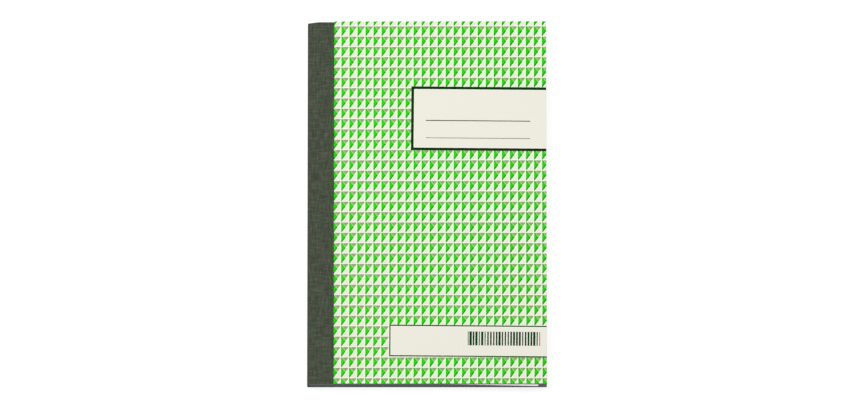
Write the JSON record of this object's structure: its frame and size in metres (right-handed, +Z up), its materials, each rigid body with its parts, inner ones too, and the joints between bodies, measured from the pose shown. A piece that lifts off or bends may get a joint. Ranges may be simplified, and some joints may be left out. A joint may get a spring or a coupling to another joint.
{
  "type": "carbonless order book",
  "caption": "Side-stitched duplicate order book with a printed card cover, cloth-bound spine, perforated top copies, tinted duplicates and a loose writing shield.",
  "frame": {"origin": "centre of the underside of the closed covers, on the surface that the book lies on", "axes": "+X from the spine to the fore-edge, +Y from the tail to the head, +Z up through the front cover"},
  "size_m": [0.135, 0.2112, 0.0098],
  "materials": {
    "book_cloth": "matte",
    "printed_card": "satin",
    "grey_board": "matte",
    "white_paper": "matte",
    "blue_paper": "matte",
    "shield_card": "matte",
    "binding_glue": "satin",
    "stitching_wire": "satin"
  },
  "bodies": {
    "book_block": {"back_cover": "grey_board", "spine_cloth": "book_cloth", "spine_glue": "binding_glue", "staple_head": "stitching_wire", "staple_tail": "stitching_wire", "bound_top_copies": "white_paper", "bound_duplicates": "blue_paper", "front_cover_margin": "printed_card", "set_1_top_stub": "white_paper", "set_2_top_stub": "white_paper", "set_3_top_stub": "white_paper", "set_4_top_stub": "white_paper", "set_1_duplicate_stub": "blue_paper", "set_2_duplicate_stub": "blue_paper", "set_3_duplicate_stub": "blue_paper", "set_4_duplicate_stub": "blue_paper"},
    "front_cover": {"front_cover": "printed_card"},
    "writing_shield": {"writing_shield": "shield_card"},
    "top_strip_1": {"set_1_top_strip": "white_paper"},
    "top_form_1": {"set_1_top_form": "white_paper"},
    "duplicate_1": {"set_1_duplicate": "blue_paper"},
    "top_strip_2": {"set_2_top_strip": "white_paper"},
    "top_form_2": {"set_2_top_form": "white_paper"},
    "duplicate_2": {"set_2_duplicate": "blue_paper"},
    "top_strip_3": {"set_3_top_strip": "white_paper"},
    "top_form_3": {"set_3_top_form": "white_paper"},
    "duplicate_3": {"set_3_duplicate": "blue_paper"},
    "top_strip_4": {"set_4_top_strip": "white_paper"},
    "top_form_4": {"set_4_top_form": "white_paper"},
    "duplicate_4": {"set_4_duplicate": "blue_paper"}
  },
  "joints": [
    {"name": "front_cover_hinge", "type": "hinge", "parent": "book_block", "child": "front_cover", "pos_m": [-0.0525, 0, 0.00985], "axis": [0, -1, 0], "range_deg": [0, 178]},
    {"name": "top_strip_1_turn", "type": "hinge", "parent": "book_block", "child": "top_strip_1", "pos_m": [-0.0525, 0, 0.00985], "axis": [0, -1, 0], "range_deg": [0, 172]},
    {"name": "duplicate_1_turn", "type": "hinge", "parent": "book_block", "child": "duplicate_1", "pos_m": [-0.0525, 0, 0.00985], "axis": [0, -1, 0], "range_deg": [0, 163.1]},
    {"name": "top_strip_2_turn", "type": "hinge", "parent": "book_block", "child": "top_strip_2", "pos_m": [-0.0525, 0, 0.00985], "axis": [0, -1, 0], "range_deg": [0, 154.2]},
    {"name": "duplicate_2_turn", "type": "hinge", "parent": "book_block", "child": "duplicate_2", "pos_m": [-0.0525, 0, 0.00985], "axis": [0, -1, 0], "range_deg": [0, 145.3]},
    {"name": "top_strip_3_turn", "type": "hinge", "parent": "book_block", "child": "top_strip_3", "pos_m": [-0.0525, 0, 0.00985], "axis": [0, -1, 0], "range_deg": [0, 136.4]},
    {"name": "duplicate_3_turn", "type": "hinge", "parent": "book_block", "child": "duplicate_3", "pos_m": [-0.0525, 0, 0.00985], "axis": [0, -1, 0], "range_deg": [0, 127.5]},
    {"name": "top_strip_4_turn", "type": "hinge", "parent": "book_block", "child": "top_strip_4", "pos_m": [-0.0525, 0, 0.00985], "axis": [0, -1, 0], "range_deg": [0, 118.6]},
    {"name": "duplicate_4_turn", "type": "hinge", "parent": "book_block", "child": "duplicate_4", "pos_m": [-0.0525, 0, 0.00985], "axis": [0, -1, 0], "range_deg": [0, 109.7]},
    {"name": "top_form_1_tear", "type": "slide", "parent": "top_strip_1", "child": "top_form_1", "axis": [1, 0, 0], "range_m": [0, 0.03]},
    {"name": "top_form_2_tear", "type": "slide", "parent": "top_strip_2", "child": "top_form_2", "axis": [1, 0, 0], "range_m": [0, 0.03]},
    {"name": "top_form_3_tear", "type": "slide", "parent": "top_strip_3", "child": "top_form_3", "axis": [1, 0, 0], "range_m": [0, 0.03]},
    {"name": "top_form_4_tear", "type": "slide", "parent": "top_strip_4", "child": "top_form_4", "axis": [1, 0, 0], "range_m": [0, 0.03]},
    {"name": "writing_shield_slide", "type": "slide", "parent": "book_block", "child": "writing_shield", "axis": [1, 0, 0], "range_m": [0, 0.09]}
  ],
  "couplings": [
    {"joint": "top_strip_1_turn", "follows": "front_cover_hinge", "ratio": 0.966},
    {"joint": "duplicate_1_turn", "follows": "front_cover_hinge", "ratio": 0.916},
    {"joint": "top_strip_2_turn", "follows": "front_cover_hinge", "ratio": 0.866},
    {"joint": "duplicate_2_turn", "follows": "front_cover_hinge", "ratio": 0.816},
    {"joint": "top_strip_3_turn", "follows": "front_cover_hinge", "ratio": 0.766},
    {"joint": "duplicate_3_turn", "follows": "front_cover_hinge", "ratio": 0.716},
    {"joint": "top_strip_4_turn", "follows": "front_cover_hinge", "ratio": 0.666},
    {"joint": "duplicate_4_turn", "follows": "front_cover_hinge", "ratio": 0.616}
  ]
}
